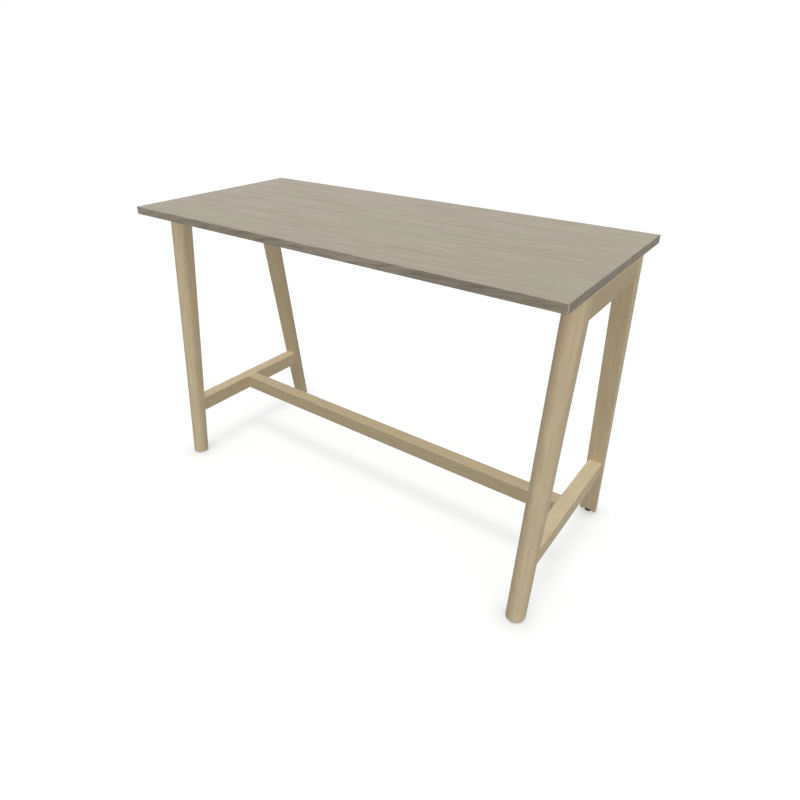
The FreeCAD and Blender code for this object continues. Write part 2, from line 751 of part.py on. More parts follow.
os.makedirs("parts", exist_ok=True)
for piece in pieces:
    piece.Shape.exportStep(os.path.join("parts", f"{piece.Label}.step"))
    print(f"{piece.Label}: {len(piece.Shape.Solids)} solids, {piece.Shape.Volume / 1000:.1f} cm3")
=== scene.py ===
import json
import math

import bmesh
import bpy
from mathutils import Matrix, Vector

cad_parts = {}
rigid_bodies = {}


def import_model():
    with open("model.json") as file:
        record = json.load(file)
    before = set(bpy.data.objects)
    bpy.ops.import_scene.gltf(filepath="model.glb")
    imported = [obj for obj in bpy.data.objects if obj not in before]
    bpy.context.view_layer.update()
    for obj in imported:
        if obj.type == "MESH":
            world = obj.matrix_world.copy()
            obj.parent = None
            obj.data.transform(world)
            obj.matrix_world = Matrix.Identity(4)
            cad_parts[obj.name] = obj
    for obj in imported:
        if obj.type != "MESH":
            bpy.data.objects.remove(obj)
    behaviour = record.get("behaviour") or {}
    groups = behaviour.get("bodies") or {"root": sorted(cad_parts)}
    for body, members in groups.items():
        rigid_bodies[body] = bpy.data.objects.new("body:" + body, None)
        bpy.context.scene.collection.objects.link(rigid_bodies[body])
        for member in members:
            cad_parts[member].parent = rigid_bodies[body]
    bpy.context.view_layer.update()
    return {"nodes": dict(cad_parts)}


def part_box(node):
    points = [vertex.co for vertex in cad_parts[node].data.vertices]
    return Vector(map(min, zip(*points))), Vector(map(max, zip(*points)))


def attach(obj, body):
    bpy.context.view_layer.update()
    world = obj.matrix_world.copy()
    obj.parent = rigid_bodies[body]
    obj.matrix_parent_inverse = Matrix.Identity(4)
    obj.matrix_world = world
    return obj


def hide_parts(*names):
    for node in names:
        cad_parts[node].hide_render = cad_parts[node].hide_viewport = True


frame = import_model()

# Legs: four posts of solid ash, planed flat inside and moulded half round outside, which taper and
# lean outwards to the floor. The wood is sanded and matt lacquered. Dowels hold them to the rails, and
# the recess in each foot, open to the inside, takes a levelling glide.

MM = 0.001
SIDES = {"front": -1, "back": 1}
ENDS = {"left": -1, "right": 1}
LEG_INNER_TOP = 174.5 * MM
LEG_INNER_FOOT = 299 * MM
LEG_DEPTH_TOP = 64 * MM
LEG_DEPTH_FOOT = 44 * MM
WOOD_ROUND = 2 * MM
FOOT_CHAMFER = 1.5 * MM
RECESS_TOP = 10 * MM
RECESS_RADIUS = 13.5 * MM
INSERT_BORE_RADIUS = 5.6 * MM
INSERT_BORE_TOP = 48.3 * MM
HAIR = 0.01 * MM
NOSE_STEPS = 20
ROUND_STEPS = 4
CHAMFER_STEPS = 2
BORE_STEPS = 48
# The cosine past which an edge counts as running along an axis: the legs lean by less.
ALONG_AXIS = 0.95
SMOOTH_ANGLE = math.radians(35)
# The sockets of a Mix node that mixes colours.
FACTOR, UNDER, OVER, MIXED = 0, 6, 7, 2
# How far from each other, in metres, the legs lie in the figure of the wood.
LEG_CUT = (0.31, 0.17, 0.45)
# The back left leg is mixed towards brown: painted shade.
PAINTED_SHADE_LEGS = {"leg_back_left": 0.2}


def put_down():
    """Stop editing and deselect everything."""
    if bpy.context.mode != "OBJECT":
        bpy.ops.object.mode_set(mode="OBJECT")
    bpy.ops.object.select_all(action="DESELECT")


def pick_up(piece):
    """Stop editing and select one piece alone."""
    put_down()
    piece.select_set(True)
    bpy.context.view_layer.objects.active = piece


def begin_block(name, low, high):
    """Add a block between two corners and open it for editing. Its place goes into its mesh."""
    put_down()
    low, high = Vector(low), Vector(high)
    bpy.ops.mesh.primitive_cube_add(size=1, location=(low + high) / 2)
    block = bpy.context.object
    block.name = name
    block.data.name = name
    block.scale = high - low
    bpy.ops.object.transform_apply(location=True, rotation=True, scale=True)
    bpy.ops.object.mode_set(mode="EDIT")
    return block


def begin_rod(name, foot, height, radius, steps=BORE_STEPS):
    """Add an upright rod that starts at a point, and open it for editing."""
    put_down()
    centre = Vector(foot) + Vector((0, 0, height / 2))
    bpy.ops.mesh.primitive_cylinder_add(vertices=steps, radius=radius, depth=height, location=centre)
    rod = bpy.context.object
    rod.name = name
    rod.data.name = name
    bpy.ops.object.transform_apply(location=True, rotation=True, scale=True)
    bpy.ops.object.mode_set(mode="EDIT")
    return rod


def begin_copy(piece, name):
    """Copy a piece with a mesh of its own, and open the copy for editing with all of it selected."""
    pick_up(piece)
    bpy.ops.object.duplicate()
    copy = bpy.context.object
    copy.name = name
    copy.data.name = name
    bpy.ops.object.mode_set(mode="EDIT")
    bpy.ops.mesh.select_all(action="SELECT")
    return copy


def mirror(flip):
    """Mirror the piece being edited through the table's middle, and turn its faces out again."""
    bpy.ops.transform.resize(value=flip, center_override=(0, 0, 0))
    bpy.ops.mesh.normals_make_consistent(inside=False)


def choose(kind, wanted):
    """Select the corners, edges or faces of the piece being edited that pass a test."""
    bpy.ops.mesh.select_mode(type=kind)
    bpy.ops.mesh.select_all(action="DESELECT")
    mesh = bpy.context.edit_object.data
    shape = bmesh.from_edit_mesh(mesh)
    for element in {"VERT": shape.verts, "EDGE": shape.edges, "FACE": shape.faces}[kind]:
        if wanted(element):
            element.select_set(True)
    shape.select_flush_mode()
    bmesh.update_edit_mesh(mesh)


def middle(edge):
    return (edge.verts[0].co + edge.verts[1].co) / 2


def runs_along(edge, axis):
    """Whether an edge points along X, Y or Z, given as 0, 1 or 2."""
    direction = (edge.verts[1].co - edge.verts[0].co).normalized()
    return abs(direction[axis]) > ALONG_AXIS


def begin_half_round(name, low, high):
    """A block whose upright face towards the back is half round."""
    block = begin_block(name, low, high)
    centre_y = (low[1] + high[1]) / 2
    choose("EDGE", lambda edge: runs_along(edge, 2) and middle(edge).y > centre_y)
    bpy.ops.mesh.bevel(offset=(high[0] - low[0]) / 2, segments=NOSE_STEPS, affect="EDGES")
    bpy.ops.mesh.select_all(action="SELECT")
    bpy.ops.mesh.remove_doubles(threshold=HAIR)
    return block


def cut_away(piece, cutter):
    """Take the cutter's shape out of a piece, as a router or drill does."""
    pick_up(piece)
    bpy.ops.object.modifier_add(type="BOOLEAN")
    cut = piece.modifiers[-1]
    cut.operation = "DIFFERENCE"
    cut.solver = "EXACT"
    cut.object = cutter
    bpy.ops.object.modifier_apply(modifier=cut.name)
    bpy.data.objects.remove(cutter)


def finish_piece(piece, material, slot, body, *nodes):
    """Smooth the rounded parts, keep flat faces flat, and hang the piece in the frame for its CAD nodes."""
    pick_up(piece)
    bpy.ops.object.shade_smooth_by_angle(angle=SMOOTH_ANGLE)
    bpy.ops.object.modifier_add(type="WEIGHTED_NORMAL")
    piece.modifiers[-1].keep_sharp = True
    bpy.ops.object.modifier_apply(modifier=piece.modifiers[-1].name)
    piece.data.materials.clear()
    piece.data.materials.append(material)
    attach(piece, body)
    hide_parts(*nodes)


def linear(hex_colour):
    """An sRGB hex colour as the linear colour that shaders take."""
    channels = [int(hex_colour[place:place + 2], 16) / 255 for place in (1, 3, 5)]
    return [c / 12.92 if c <= 0.04045 else ((c + 0.055) / 1.055) ** 2.4 for c in channels] + [1]


def add_node(tree, kind, settings):
    """Add a node. A setting names an input, by name or number, or a property; a socket is linked."""
    node = tree.nodes.new(kind)
    for key, value in settings.items():
        is_input = isinstance(key, int) or key in node.inputs
        if isinstance(value, bpy.types.NodeSocket):
            tree.links.new(value, node.inputs[key])
        elif is_input:
            node.inputs[key].default_value = value
        else:
            setattr(node, key, value)
    return node


def begin_material(name):
    """An empty material with its principled shader and its output."""
    material = bpy.data.materials.new(name)
    material.use_nodes = True
    tree = material.node_tree
    tree.nodes.clear()
    shader = add_node(tree, "ShaderNodeBsdfPrincipled", {})
    add_node(tree, "ShaderNodeOutputMaterial", {"Surface": shader.outputs[0]})
    return material, tree, shader


def lacquered_ash(node, grain, centre, painted_shade=0):
    """Sanded ash under matt lacquer: pale and quiet, with a soft sheen along the grain.

    Broad bands change in warmth, short patches and streaks darken the wood, and pores show as fine
    dashes. The pattern runs along the grain, and its centre moves it so that no two members match.
    Some members are mixed towards brown: painted shade that stands in for the darker light on them.
    Real pores, about 0.3 mm wide, are drawn as 1.3 mm so that they show.
    """
    material, tree, shader = begin_material(f"lacquered_ash_{node}")
    place = add_node(tree, "ShaderNodeTexCoord", {})
    turn = Vector((1, 0, 0)).rotation_difference(Vector(grain)).to_euler()
    layers = {}
    for layer, length, width, detail in (
        ("band", 600 * MM, 30 * MM, 2.0),
        ("patch", 90 * MM, 11 * MM, 3.0),
        ("streak", 150 * MM, 4.5 * MM, 3.0),
        ("pore", 26 * MM, 1.3 * MM, 1.0),
    ):
        grid = add_node(tree, "ShaderNodeMapping", {
            "vector_type": "TEXTURE", "Vector": place.outputs["Object"], "Location": centre,
            "Rotation": turn, "Scale": (length, width, width),
        })
        layers[layer] = add_node(tree, "ShaderNodeTexNoise", {
            "Vector": grid.outputs[0], "Scale": 1.0, "Detail": detail, "Roughness": 0.55,
        }).outputs["Fac"]
    band = add_node(tree, "ShaderNodeMapRange", {"Value": layers["band"], "From Min": 0.3, "From Max": 0.7})
    wood = add_node(tree, "ShaderNodeMix", {
        "data_type": "RGBA", FACTOR: band.outputs[0], UNDER: linear("#D3BF9F"), OVER: linear("#D5C7A5"),
    })
    for layer, least, most, amount, colour in (
        ("patch", 0.42, 0.7, 0.5, "#BEAD8D"),
        ("streak", 0.45, 0.75, 0.3, "#B29F7E"),
        ("pore", 0.64, 0.76, 0.25, "#98835F"),
    ):
        mark = add_node(tree, "ShaderNodeMapRange", {
            "Value": layers[layer], "From Min": least, "From Max": most, "To Max": amount,
        })
        wood = add_node(tree, "ShaderNodeMix", {
            "data_type": "RGBA", FACTOR: mark.outputs[0], UNDER: wood.outputs[MIXED], OVER: linear(colour),
        })
    # Painted shade: the member's wood is mixed towards brown by the given amount.
    wood = add_node(tree, "ShaderNodeMix", {
        "data_type": "RGBA", FACTOR: painted_shade, UNDER: wood.outputs[MIXED], OVER: linear("#8F7D5D"),
    })
    tree.links.new(wood.outputs[MIXED], shader.inputs["Base Color"])
    gloss = add_node(tree, "ShaderNodeMapRange", {"Value": layers["streak"], "To Min": 0.6, "To Max": 0.72})
    tree.links.new(gloss.outputs[0], shader.inputs["Roughness"])
    relief = add_node(tree, "ShaderNodeBump", {
        "Height": layers["pore"], "Strength": 0.25, "Distance": 0.1 * MM,
    })
    tree.links.new(relief.outputs[0], shader.inputs["Normal"])
    shader.inputs["Specular IOR Level"].default_value = 0.2
    shader.inputs["IOR"].default_value = 1.45
    return material


# The back right leg is planed, shaped to a half-round nose, tapered to the foot and routed for its glide.
low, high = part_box("leg_back_right")
nose = LEG_INNER_TOP + LEG_DEPTH_TOP
leg = begin_half_round("leg_back_right_post", (low.x, LEG_INNER_TOP, low.z), (high.x, nose, high.z))
choose("EDGE", lambda edge: runs_along(edge, 2) and middle(edge).y < LEG_INNER_TOP + HAIR)
bpy.ops.mesh.bevel(offset=WOOD_ROUND, segments=ROUND_STEPS, affect="EDGES")
shoulder = nose - (high.x - low.x) / 2 - HAIR
inner_lean = LEG_INNER_FOOT - LEG_INNER_TOP
nose_lean = inner_lean + LEG_DEPTH_FOOT - LEG_DEPTH_TOP
choose("VERT", lambda corner: corner.co.z < low.z + HAIR and corner.co.y > shoulder)
bpy.ops.transform.translate(value=(0, nose_lean, 0))
choose("VERT", lambda corner: corner.co.z < low.z + HAIR and corner.co.y < shoulder)
bpy.ops.transform.translate(value=(0, inner_lean, 0))
choose("EDGE", lambda edge: max(corner.co.z for corner in edge.verts) < low.z + HAIR)
bpy.ops.mesh.bevel(offset=FOOT_CHAMFER, segments=CHAMFER_STEPS, affect="EDGES")
glide_low, glide_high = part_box("glide_pad_back_right")
glide = (glide_low + glide_high) / 2
recess_cutter = begin_half_round(
    "recess_cutter",
    (glide.x - RECESS_RADIUS, LEG_INNER_FOOT - RECESS_RADIUS, -RECESS_TOP),
    (glide.x + RECESS_RADIUS, glide.y + RECESS_RADIUS, RECESS_TOP),
)
cut_away(leg, recess_cutter)
cut_away(leg, begin_rod("bore_cutter", (glide.x, glide.y, 0), INSERT_BORE_TOP, INSERT_BORE_RADIUS))
leg_height = high.z - low.z

# The other three are mirrored copies of it, each from a plank of its own.
for side_name, side in SIDES.items():
    for end_name, end in ENDS.items():
        node = f"leg_{side_name}_{end_name}"
        post = leg
        if node != "leg_back_right":
            post = begin_copy(leg, f"{node}_post")
            mirror((end, side, 1))
        glide_low, glide_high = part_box(f"glide_pad_{side_name}_{end_name}")
        cut = Vector((LEG_CUT[0] * end, LEG_CUT[1] * side, LEG_CUT[2] * side * end))
        grain = (0, -side * (inner_lean + nose_lean) / 2, leg_height)
        wood = lacquered_ash(node, grain, (glide_low + glide_high) / 2 + cut, PAINTED_SHADE_LEGS.get(node, 0))
        finish_piece(post, wood, "frame_wood", "table", node)

# Rails of the end frames: the top rail lies flush between the legs below the board, the cross rail,
# a little thinner, stands at foot height. Both are ash, cut to the lean of the legs and dowelled.

# How far from each other, in metres, the rails lie in the figure of the wood, and in which order.
RAIL_CUT = Vector((0.07, 0.4, 0.11))
RAIL_ORDER = {"top_rail_left": 1, "top_rail_right": 2, "cross_rail_left": -1, "cross_rail_right": -2}
# These rails are mixed towards brown: painted shade.
PAINTED_SHADE_RAILS = {"top_rail_left": 0.1, "top_rail_right": 0.25, "cross_rail_left": 0.1}

for kind in ("top_rail", "cross_rail"):
    low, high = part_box(f"{kind}_right")
    rail = begin_block(f"{kind}_right_plank", low, high)
    set_back = inner_lean / leg_height * (high.z - low.z)
    for side in SIDES.values():
        choose("VERT", lambda corner: corner.co.z > high.z - HAIR and side * corner.co.y > 0)
        bpy.ops.transform.translate(value=(0, -side * set_back, 0))
    choose("EDGE", lambda edge: runs_along(edge, 1))
    bpy.ops.mesh.bevel(offset=WOOD_ROUND, segments=ROUND_STEPS, affect="EDGES")
    for end_name in ENDS:
        node = f"{kind}_{end_name}"
        plank_low, plank_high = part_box(node)
        plank = rail
        if end_name != "right":
            plank = begin_copy(rail, f"{node}_plank")
            bpy.ops.transform.translate(value=plank_low - low)
        centre = (plank_low + plank_high) / 2 + RAIL_CUT * RAIL_ORDER[node]
        wood = lacquered_ash(node, (0, 1, 0), centre, PAINTED_SHADE_RAILS.get(node, 0))
        finish_piece(plank, wood, "frame_wood", "table", node)

# Stretcher: one long ash rail between the two cross rails. A bolt at each end draws it up, tightened
# from a round pocket bored into the underside, so no metal shows from above.

POCKET_RADIUS = 14 * MM
POCKET_SET = 70 * MM
POCKET_HEADROOM = 12 * MM
STRETCHER_CUT = (0.3, 0.21, 0.6)
# The stretcher is mixed towards brown: painted shade.
PAINTED_SHADE_STRETCHER = 0.3

low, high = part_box("long_stretcher")
stretcher = begin_block("long_stretcher_plank", low, high)
choose("EDGE", lambda edge: runs_along(edge, 0))
bpy.ops.mesh.bevel(offset=WOOD_ROUND, segments=ROUND_STEPS, affect="EDGES")
pocket_depth = (high.z - low.z) / 2 + POCKET_HEADROOM
for end in ENDS.values():
    pocket = (end * (high.x - POCKET_SET), 0, low.z - pocket_depth)
    cut_away(stretcher, begin_rod("pocket_cutter", pocket, 2 * pocket_depth, POCKET_RADIUS))
wood = lacquered_ash("long_stretcher", (1, 0, 0), STRETCHER_CUT, PAINTED_SHADE_STRETCHER)
finish_piece(stretcher, wood, "frame_wood", "table", "long_stretcher")

# Beams: two black powder-coated steel tubes under the board keep it from sagging. A flat tab welded
# into each end lies on the top rail, and holes in the lower wall let a screwdriver reach the board screws.

BEAM_END = 735 * MM
BEAM_WALL = 2 * MM
BEAM_ROUND = 3 * MM
TAB_THICKNESS = 4 * MM
TAB_LAP = 40 * MM
TAB_ROUND = 1 * MM
ACCESS_RADIUS = 6 * MM
BOARD_SCREWS_X = (-600 * MM, -200 * MM, 200 * MM, 600 * MM)
# The cosine past which a face counts as facing along an axis.
FACING_AXIS = 0.99

# Powder coat is sprayed on dry and baked. Its fine grit breaks up the light, so that the black looks
# soft and greyish. The real grit, about 0.3 mm, is drawn as 0.8 mm so that it shows.
COAT_GRIT = 0.8 * MM
powder_coat, tree, shader = begin_material("black_powder_coat")
place = add_node(tree, "ShaderNodeTexCoord", {})
grit = add_node(tree, "ShaderNodeTexNoise", {
    "Vector": place.outputs["Object"], "Scale": 1 / COAT_GRIT, "Detail": 1.0,
})
coat_tone = add_node(tree, "ShaderNodeMix", {
    "data_type": "RGBA", FACTOR: grit.outputs["Fac"], UNDER: linear("#1D1D1E"), OVER: linear("#2B2B2C"),
})
tree.links.new(coat_tone.outputs[MIXED], shader.inputs["Base Color"])
relief = add_node(tree, "ShaderNodeBump", {
    "Height": grit.outputs["Fac"], "Strength": 0.3, "Distance": 0.1 * MM,
})
tree.links.new(relief.outputs[0], shader.inputs["Normal"])
shader.inputs["Roughness"].default_value = 0.55
shader.inputs["IOR"].default_value = 1.5


def join_to(piece, *others):
    """Weld other meshes to a piece, so that they make one object."""
    pick_up(piece)
    for part in others:
        part.select_set(True)
    bpy.ops.object.join()


low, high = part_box("beam_back")
beam = begin_block("beam_back_tube", (-BEAM_END, low.y, low.z), (BEAM_END, high.y, high.z))
choose("EDGE", lambda edge: runs_along(edge, 0))
bpy.ops.mesh.bevel(offset=BEAM_ROUND, segments=ROUND_STEPS, affect="EDGES")
choose("FACE", lambda face: abs(face.normal.x) > FACING_AXIS)
bpy.ops.mesh.inset(thickness=BEAM_WALL)
bpy.ops.mesh.bridge_edge_loops()
bpy.ops.mesh.select_all(action="SELECT")
bpy.ops.mesh.normals_make_consistent(inside=False)
for screw_x in BOARD_SCREWS_X:
    hole = (screw_x, (low.y + high.y) / 2, low.z - ACCESS_RADIUS)
    cut_away(beam, begin_rod("access_cutter", hole, 2 * ACCESS_RADIUS, ACCESS_RADIUS))
tab_top = high.z - BEAM_WALL
tab_low = (BEAM_END - TAB_LAP, low.y + BEAM_WALL, tab_top - TAB_THICKNESS)
right_tab = begin_block("beam_tab_right", tab_low, (high.x, high.y - BEAM_WALL, tab_top))
choose("EDGE", lambda edge: middle(edge).x > high.x - HAIR)
bpy.ops.mesh.bevel(offset=TAB_ROUND, segments=CHAMFER_STEPS, affect="EDGES")
left_tab = begin_copy(right_tab, "beam_tab_left")
mirror((-1, 1, 1))
join_to(beam, left_tab, right_tab)
front_beam = begin_copy(beam, "beam_front_tube")
bpy.ops.transform.translate(value=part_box("beam_front")[0] - low)
finish_piece(front_beam, powder_coat, "beam_steel", "table", "beam_front")
finish_piece(beam, powder_coat, "beam_steel", "table", "beam_back")

# Fixings: beech dowels in the glued joints, and zinc-plated bolts, washers, nuts, inserts and screws.
# Most are hidden; the stretcher's hardware and the board screws show from below in their holes.


def coat(node, material):
    """Give a CAD piece its finish."""
    frame["nodes"][node].data.materials.clear()
    frame["nodes"][node].data.materials.append(material)


# Turned beech is a plain pinkish brown with short darker flecks along the dowel, which here lies
# across the table.
BEECH_FLECK = (1 * MM, 12 * MM, 1 * MM)
turned_beech, tree, shader = begin_material("turned_beech")
place = add_node(tree, "ShaderNodeTexCoord", {})
grid = add_node(tree, "ShaderNodeMapping", {
    "vector_type": "TEXTURE", "Vector": place.outputs["Object"], "Scale": BEECH_FLECK,
})
fleck = add_node(tree, "ShaderNodeTexNoise", {"Vector": grid.outputs[0], "Scale": 1.0, "Detail": 2.0})
beech = add_node(tree, "ShaderNodeMix", {
    "data_type": "RGBA", FACTOR: fleck.outputs["Fac"], UNDER: linear("#D2AE86"), OVER: linear("#B98F66"),
})
tree.links.new(beech.outputs[MIXED], shader.inputs["Base Color"])
shader.inputs["Roughness"].default_value = 0.6
for node in ("top_rail_dowels", "cross_rail_dowels", "stretcher_dowels"):
    coat(node, turned_beech)

# Zinc plate is a bright bluish metal. Its crystals make faint clouds in colour and gloss.
SPANGLE = 2 * MM
zinc_plate, tree, shader = begin_material("zinc_plated_steel")
place = add_node(tree, "ShaderNodeTexCoord", {})
spangle = add_node(tree, "ShaderNodeTexNoise", {
    "Vector": place.outputs["Object"], "Scale": 1 / SPANGLE, "Detail": 2.0,
})
plate_tone = add_node(tree, "ShaderNodeMix", {
    "data_type": "RGBA", FACTOR: spangle.outputs["Fac"], UNDER: linear("#C6C8CB"), OVER: linear("#A9ACB0"),
})
tree.links.new(plate_tone.outputs[MIXED], shader.inputs["Base Color"])
plate_gloss = add_node(tree, "ShaderNodeMapRange", {
    "Value": spangle.outputs["Fac"], "To Min": 0.28, "To Max": 0.42,
})
tree.links.new(plate_gloss.outputs[0], shader.inputs["Roughness"])
shader.inputs["Metallic"].default_value = 1.0
for node in ("stretcher_bolts", "stretcher_washers", "stretcher_nuts", "stretcher_inserts",
             "beam_screws", "rail_inserts", "top_screws", "leg_inserts"):
    coat(node, zinc_plate)

# Levelling glides: a foot of black moulded plastic stands on the floor, and a blackened M8 stud with a
# hexagonal collar is held in its socket. Turning the collar screws the stud in or out of the leg.

PAD_ROUND = 1 * MM
PAD_FLOOR = 2 * MM
SOCKET_TOP = 4.3 * MM
SOCKET_RADIUS = 6.3 * MM
NECK_RADIUS = 4.3 * MM
STUD_RADIUS = 4 * MM
STUD_FOOT_RADIUS = 6 * MM
STUD_FOOT_HEIGHT = 2 * MM
COLLAR_BOTTOM = 6.3 * MM
COLLAR_HEIGHT = 3 * MM
COLLAR_FLATS = 13 * MM
COLLAR_CHAMFER = 0.6 * MM
HEXAGON = 6
THREAD_PITCH = 1.25 * MM
THREAD_DEPTH = 0.7 * MM
RINGS_PER_PITCH = 4
THREAD_STEPS = 24

# Moulded plastic takes the fine spark marks of its steel mould, which dull the black a little. The
# real marks, about 0.1 mm, are drawn as 0.6 mm so that they show.
MOULD_SPARK = 0.6 * MM
moulded_plastic, tree, shader = begin_material("black_moulded_plastic")
place = add_node(tree, "ShaderNodeTexCoord", {})
spark = add_node(tree, "ShaderNodeTexNoise", {
    "Vector": place.outputs["Object"], "Scale": 1 / MOULD_SPARK, "Detail": 1.0,
})
plastic_tone = add_node(tree, "ShaderNodeMix", {
    "data_type": "RGBA", FACTOR: spark.outputs["Fac"], UNDER: linear("#121212"), OVER: linear("#1C1C1C"),
})
tree.links.new(plastic_tone.outputs[MIXED], shader.inputs["Base Color"])
relief = add_node(tree, "ShaderNodeBump", {
    "Height": spark.outputs["Fac"], "Strength": 0.2, "Distance": 0.05 * MM,
})
tree.links.new(relief.outputs[0], shader.inputs["Normal"])
shader.inputs["Roughness"].default_value = 0.45

# Blackened steel keeps a dark metal shine, and the oil of the blackening leaves a cloudy bloom.
STEEL_BLOOM = 2 * MM
black_steel, tree, shader = begin_material("blackened_steel")
place = add_node(tree, "ShaderNodeTexCoord", {})
bloom = add_node(tree, "ShaderNodeTexNoise", {
    "Vector": place.outputs["Object"], "Scale": 1 / STEEL_BLOOM, "Detail": 2.0,
})
steel_tone = add_node(tree, "ShaderNodeMix", {
    "data_type": "RGBA", FACTOR: bloom.outputs["Fac"], UNDER: linear("#2A2A2C"), OVER: linear("#3C3C3F"),
})
tree.links.new(steel_tone.outputs[MIXED], shader.inputs["Base Color"])
shader.inputs["Metallic"].default_value = 1.0
shader.inputs["Roughness"].default_value = 0.4


def is_level(edge):
    return abs(edge.verts[0].co.z - edge.verts[1].co.z) < HAIR


def extrude(rise):
    """Extrude the chosen face straight up, or down where the rise is negative."""
    bpy.ops.mesh.extrude_region_move(TRANSFORM_OT_translate={"value": (0, 0, rise)})


# The foot is a disc with rounded rims and an undercut socket for the stud.
low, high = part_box("glide_pad_back_right")
pad_radius = (high.x - low.x) / 2
foot = ((low.x + high.x) / 2, (low.y + high.y) / 2, low.z)
pad = begin_rod("glide_pad_back_right_foot", foot, high.z - low.z, pad_radius)
choose("EDGE", is_level)
bpy.ops.mesh.bevel(offset=PAD_ROUND, segments=ROUND_STEPS, affect="EDGES")
choose("FACE", lambda face: face.normal.z > FACING_AXIS)
bpy.ops.mesh.inset(thickness=pad_radius - PAD_ROUND - NECK_RADIUS)
extrude(SOCKET_TOP - high.z)
extrude(0)
widening = SOCKET_RADIUS / NECK_RADIUS
bpy.ops.transform.resize(value=(widening, widening, 1), center_override=foot)
extrude(PAD_FLOOR - SOCKET_TOP)

# The stud is turned with a foot that the socket holds, a hexagonal collar and a thread up into the leg.
low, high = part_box("glide_stud_back_right")
x, y = (low.x + high.x) / 2, (low.y + high.y) / 2
stud = begin_rod("glide_stud_back_right_rod", (x, y, low.z), STUD_FOOT_HEIGHT, STUD_FOOT_RADIUS)
choose("FACE", lambda face: face.normal.z > FACING_AXIS)
bpy.ops.mesh.inset(thickness=STUD_FOOT_RADIUS - STUD_RADIUS)
extrude(COLLAR_BOTTOM - low.z - STUD_FOOT_HEIGHT)
corner_radius = COLLAR_FLATS / math.sqrt(3)
collar = begin_rod("stud_collar", (x, y, COLLAR_BOTTOM), COLLAR_HEIGHT, corner_radius, HEXAGON)
choose("EDGE", is_level)
bpy.ops.mesh.bevel(offset=COLLAR_CHAMFER, segments=CHAMFER_STEPS, affect="EDGES")
bpy.ops.transform.rotate(value=math.pi / HEXAGON, orient_axis="Z", center_override=(x, y, 0))
thread_foot = COLLAR_BOTTOM + COLLAR_HEIGHT
thread = begin_rod("stud_thread", (x, y, thread_foot), high.z - thread_foot, STUD_RADIUS, THREAD_STEPS)
choose("EDGE", lambda edge: runs_along(edge, 2))
bpy.ops.mesh.subdivide(number_cuts=round((high.z - thread_foot) / THREAD_PITCH * RINGS_PER_PITCH))
put_down()
# Each ring of corners is drawn in or left out by its place along the helix of a right-hand thread.
for corner in thread.data.vertices:
    turn = math.atan2(corner.co.y - y, corner.co.x - x) / math.tau
    phase = (corner.co.z / THREAD_PITCH - turn) % 1
    at_end = corner.co.z > high.z - HAIR or corner.co.z < thread_foot + HAIR
    groove = THREAD_DEPTH if at_end else THREAD_DEPTH * abs(2 * phase - 1)
    shrink = 1 - groove / STUD_RADIUS
    corner.co.x = x + (corner.co.x - x) * shrink
    corner.co.y = y + (corner.co.y - y) * shrink
join_to(stud, collar, thread)

# The other three glides are copies, moved and not mirrored, so that all threads stay right-handed.
for side_name in SIDES:
    for end_name in ENDS:
        glide_pad = f"glide_pad_{side_name}_{end_name}"
        glide_stud = f"glide_stud_{side_name}_{end_name}"
        foot_piece, stud_piece = pad, stud
        if glide_pad != "glide_pad_back_right":
            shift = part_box(glide_pad)[0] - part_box("glide_pad_back_right")[0]
            foot_piece = begin_copy(pad, f"{glide_pad}_foot")
            bpy.ops.transform.translate(value=shift)
            stud_piece = begin_copy(stud, f"{glide_stud}_rod")
            bpy.ops.transform.translate(value=shift)
        finish_piece(foot_piece, moulded_plastic, "glide_plastic", glide_pad, glide_pad)
        finish_piece(stud_piece, black_steel, "stud_steel", glide_stud, glide_stud)

# Board: chipboard faced with a grey-beige oak decor. The print runs along the table in fine soft
# streaks, with faint pink and green drifts and a few darker flecks, under a matt melamine skin.

PRINT_PLACE = (0.4, 0.13, 0)
PRINT_TILT = math.radians(0.6)

# Matt melamine shows the printed paper through a thin clear skin: flat to the eye, with a dull sheen
# that the pressed-in streaks vary. The thinnest lines, under 1 mm in the real print, are drawn as 2 mm
# and more so that they show.
oak_decor, tree, shader = begin_material("matt_melamine_oak_decor")
place = add_node(tree, "ShaderNodeTexCoord", {})
layers = {}
for layer, length, width, detail in (
    ("drift", 700 * MM, 70 * MM, 2.0),
    ("mottle", 150 * MM, 32 * MM, 2.0),
    ("band", 420 * MM, 24 * MM, 3.0),
    ("streak", 170 * MM, 8 * MM, 3.0),
    ("line", 300 * MM, 2.6 * MM, 2.0),
    ("fleck", 48 * MM, 2.2 * MM, 1.0),
):
    grid = add_node(tree, "ShaderNodeMapping", {
        "vector_type": "TEXTURE", "Vector": place.outputs["Object"], "Location": PRINT_PLACE,
        "Rotation": (0, 0, PRINT_TILT), "Scale": (length, width, width),
    })
    layers[layer] = add_node(tree, "ShaderNodeTexNoise", {
        "Vector": grid.outputs[0], "Scale": 1.0, "Detail": detail, "Roughness": 0.6, "Distortion": 0.2,
    }).outputs["Fac"]
drift = add_node(tree, "ShaderNodeMapRange", {"Value": layers["drift"], "From Min": 0.42, "From Max": 0.7})
decor = add_node(tree, "ShaderNodeMix", {
    "data_type": "RGBA", FACTOR: drift.outputs[0], UNDER: linear("#ABA091"), OVER: linear("#A4A08B"),
})
